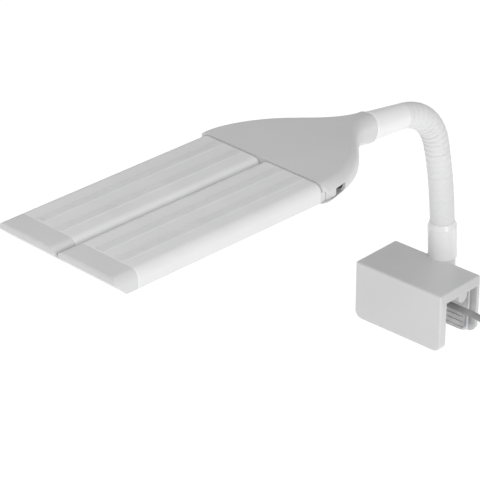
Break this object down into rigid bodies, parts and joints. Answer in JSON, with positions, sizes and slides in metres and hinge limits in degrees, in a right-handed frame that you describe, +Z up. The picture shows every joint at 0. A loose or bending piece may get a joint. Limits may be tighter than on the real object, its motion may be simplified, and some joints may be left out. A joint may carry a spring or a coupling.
{
  "type": "clip-on reading lamp",
  "caption": "Clip-on reading lamp: channel clamp with screw jaw, bendable gooseneck and a flat head whose light bars fan out.",
  "frame": {"origin": "middle of the fixed clamp pad's inner face, where the board that carries the lamp rests", "axes": "+X along the clamp channel, +Y from the fixed pad towards the moving jaw and the neck, +Z up; the head reaches along -Y"},
  "size_m": [0.1864, 0.3538, 0.1583],
  "materials": {
    "housing": "satin moulded plastic",
    "bar_shell": "white powder coat on an extrusion",
    "sleeve": "soft white corrugated sleeve",
    "ferrule": "semi-gloss white",
    "ring": "gloss white",
    "pad": "soft grey rubber",
    "steel": "zinc-plated",
    "brass": "turned",
    "lead": "grey flexible sheath",
    "plug": "moulded grip",
    "plug_metal": "plated shell",
    "plug_insert": "white insert",
    "wire": "insulated wire",
    "board": "white-faced circuit board",
    "driver_board": "green circuit board",
    "chips": "black component bodies",
    "led": "yellow phosphor chips",
    "diffuser": "opal acrylic"
  },
  "bodies": {
    "root": {"clamp_body": "housing", "front_pad": "pad", "screw_bush": "brass", "wire_cover": "housing", "cover_screws": "steel", "lead_gland": "housing", "base_wires": "wire", "lower_ferrule": "ferrule", "neck_stub": "steel", "neck_sleeve_0": "sleeve", "neck_core_0": "steel", "power_lead": "lead", "lead_coil": "lead", "coil_tie": "plug", "lead_tail": "lead", "plug_grip": "plug", "plug_shell": "plug_metal", "plug_tongue": "plug_insert"},
    "jaw": {"jaw_plate": "steel", "jaw_pad": "pad"},
    "screw": {"clamp_screw": "steel", "clamp_knob": "housing"},
    "neck_1": {"neck_sleeve_1": "sleeve", "neck_core_1": "steel"},
    "neck_2": {"neck_sleeve_2": "sleeve", "neck_core_2": "steel"},
    "neck_3": {"neck_sleeve_3": "sleeve", "neck_core_3": "steel"},
    "neck_4": {"neck_sleeve_4": "sleeve", "neck_core_4": "steel"},
    "neck_5": {"neck_sleeve_5": "sleeve", "neck_core_5": "steel"},
    "neck_6": {"neck_sleeve_6": "sleeve", "neck_core_6": "steel", "upper_ferrule": "ferrule"},
    "head": {"swivel_ring": "ring", "swivel_pipe": "brass", "head_top_shell": "housing", "head_bottom_cover": "housing", "head_screws": "steel", "pivot_pins": "steel", "driver_board": "driver_board", "driver_parts": "chips", "push_switch": "chips"},
    "right_bar": {"right_bar_shell": "bar_shell", "right_bar_gasket": "ring", "right_end_cap": "housing", "right_bar_root": "housing", "right_led_board": "board", "right_leds": "led", "right_diffuser": "diffuser"},
    "left_bar": {"left_bar_shell": "bar_shell", "left_bar_gasket": "ring", "left_end_cap": "housing", "left_bar_root": "housing", "left_led_board": "board", "left_leds": "led", "left_diffuser": "diffuser"},
    "button": {"power_button": "plug"}
  },
  "joints": [
    {"name": "screw_turn", "type": "hinge", "parent": "jaw", "child": "screw", "pos_m": [0, 0.03, -0.0052], "axis": [0, -1, 0], "range_deg": [0, 3600]},
    {"name": "jaw_slide", "type": "slide", "parent": "root", "child": "jaw", "axis": [0, -1, 0], "range_m": [0, 0.015]},
    {"name": "neck_bend_1", "type": "hinge", "parent": "root", "child": "neck_1", "pos_m": [-0.00009, 0.03357, 0.05652], "axis": [0.9991, -0.0419, 0], "range_deg": [-22, 12]},
    {"name": "neck_lean_2", "type": "hinge", "parent": "neck_1", "child": "neck_2", "pos_m": [-0.00017, 0.03163, 0.07341], "axis": [-0.0415, -0.9893, -0.1397], "range_deg": [-20, 20]},
    {"name": "neck_bend_3", "type": "hinge", "parent": "neck_2", "child": "neck_3", "pos_m": [-0.00029, 0.02883, 0.09018], "axis": [0.9991, -0.0419, 0], "range_deg": [-22, 12]},
    {"name": "neck_lean_4", "type": "hinge", "parent": "neck_3", "child": "neck_4", "pos_m": [-0.00045, 0.02512, 0.10676], "axis": [-0.04, -0.9547, -0.2947], "range_deg": [-20, 20]},
    {"name": "neck_bend_5", "type": "hinge", "parent": "neck_4", "child": "neck_5", "pos_m": [-0.00081, 0.0164, 0.12116], "axis": [0.9991, -0.0419, 0], "range_deg": [-22, 12]},
    {"name": "neck_lean_6", "type": "hinge", "parent": "neck_5", "child": "neck_6", "pos_m": [-0.00142, 0.00197, 0.12981], "axis": [-0.0127, -0.3024, -0.9531], "range_deg": [-20, 20]},
    {"name": "head_swivel", "type": "hinge", "parent": "neck_6", "child": "head", "pos_m": [-0.00293, -0.03427, 0.13439], "axis": [-0.0416, -0.9936, 0.1045], "range_deg": [-60, 60]},
    {"name": "right_bar_swing", "type": "hinge", "parent": "head", "child": "right_bar", "pos_m": [0.0366, -0.11792, 0.137], "axis": [0, 0, 1], "range_deg": [0, 10]},
    {"name": "left_bar_swing", "type": "hinge", "parent": "head", "child": "left_bar", "pos_m": [-0.04933, -0.11432, 0.137], "axis": [0, 0, -1], "range_deg": [0, 10]},
    {"name": "button_press", "type": "slide", "parent": "head", "child": "button", "axis": [0, 0, 1], "range_m": [0, 0.001], "stiffness_N_per_m": 900, "springref_m": -0.0008}
  ],
  "couplings": [
    {"joint": "screw_turn", "follows": "jaw_slide", "rad_per_m": 4188.8},
    {"joint": "neck_bend_3", "follows": "neck_bend_1", "ratio": 1},
    {"joint": "neck_bend_5", "follows": "neck_bend_1", "ratio": 1},
    {"joint": "neck_lean_4", "follows": "neck_lean_2", "ratio": 1},
    {"joint": "neck_lean_6", "follows": "neck_lean_2", "ratio": 1}
  ]
}
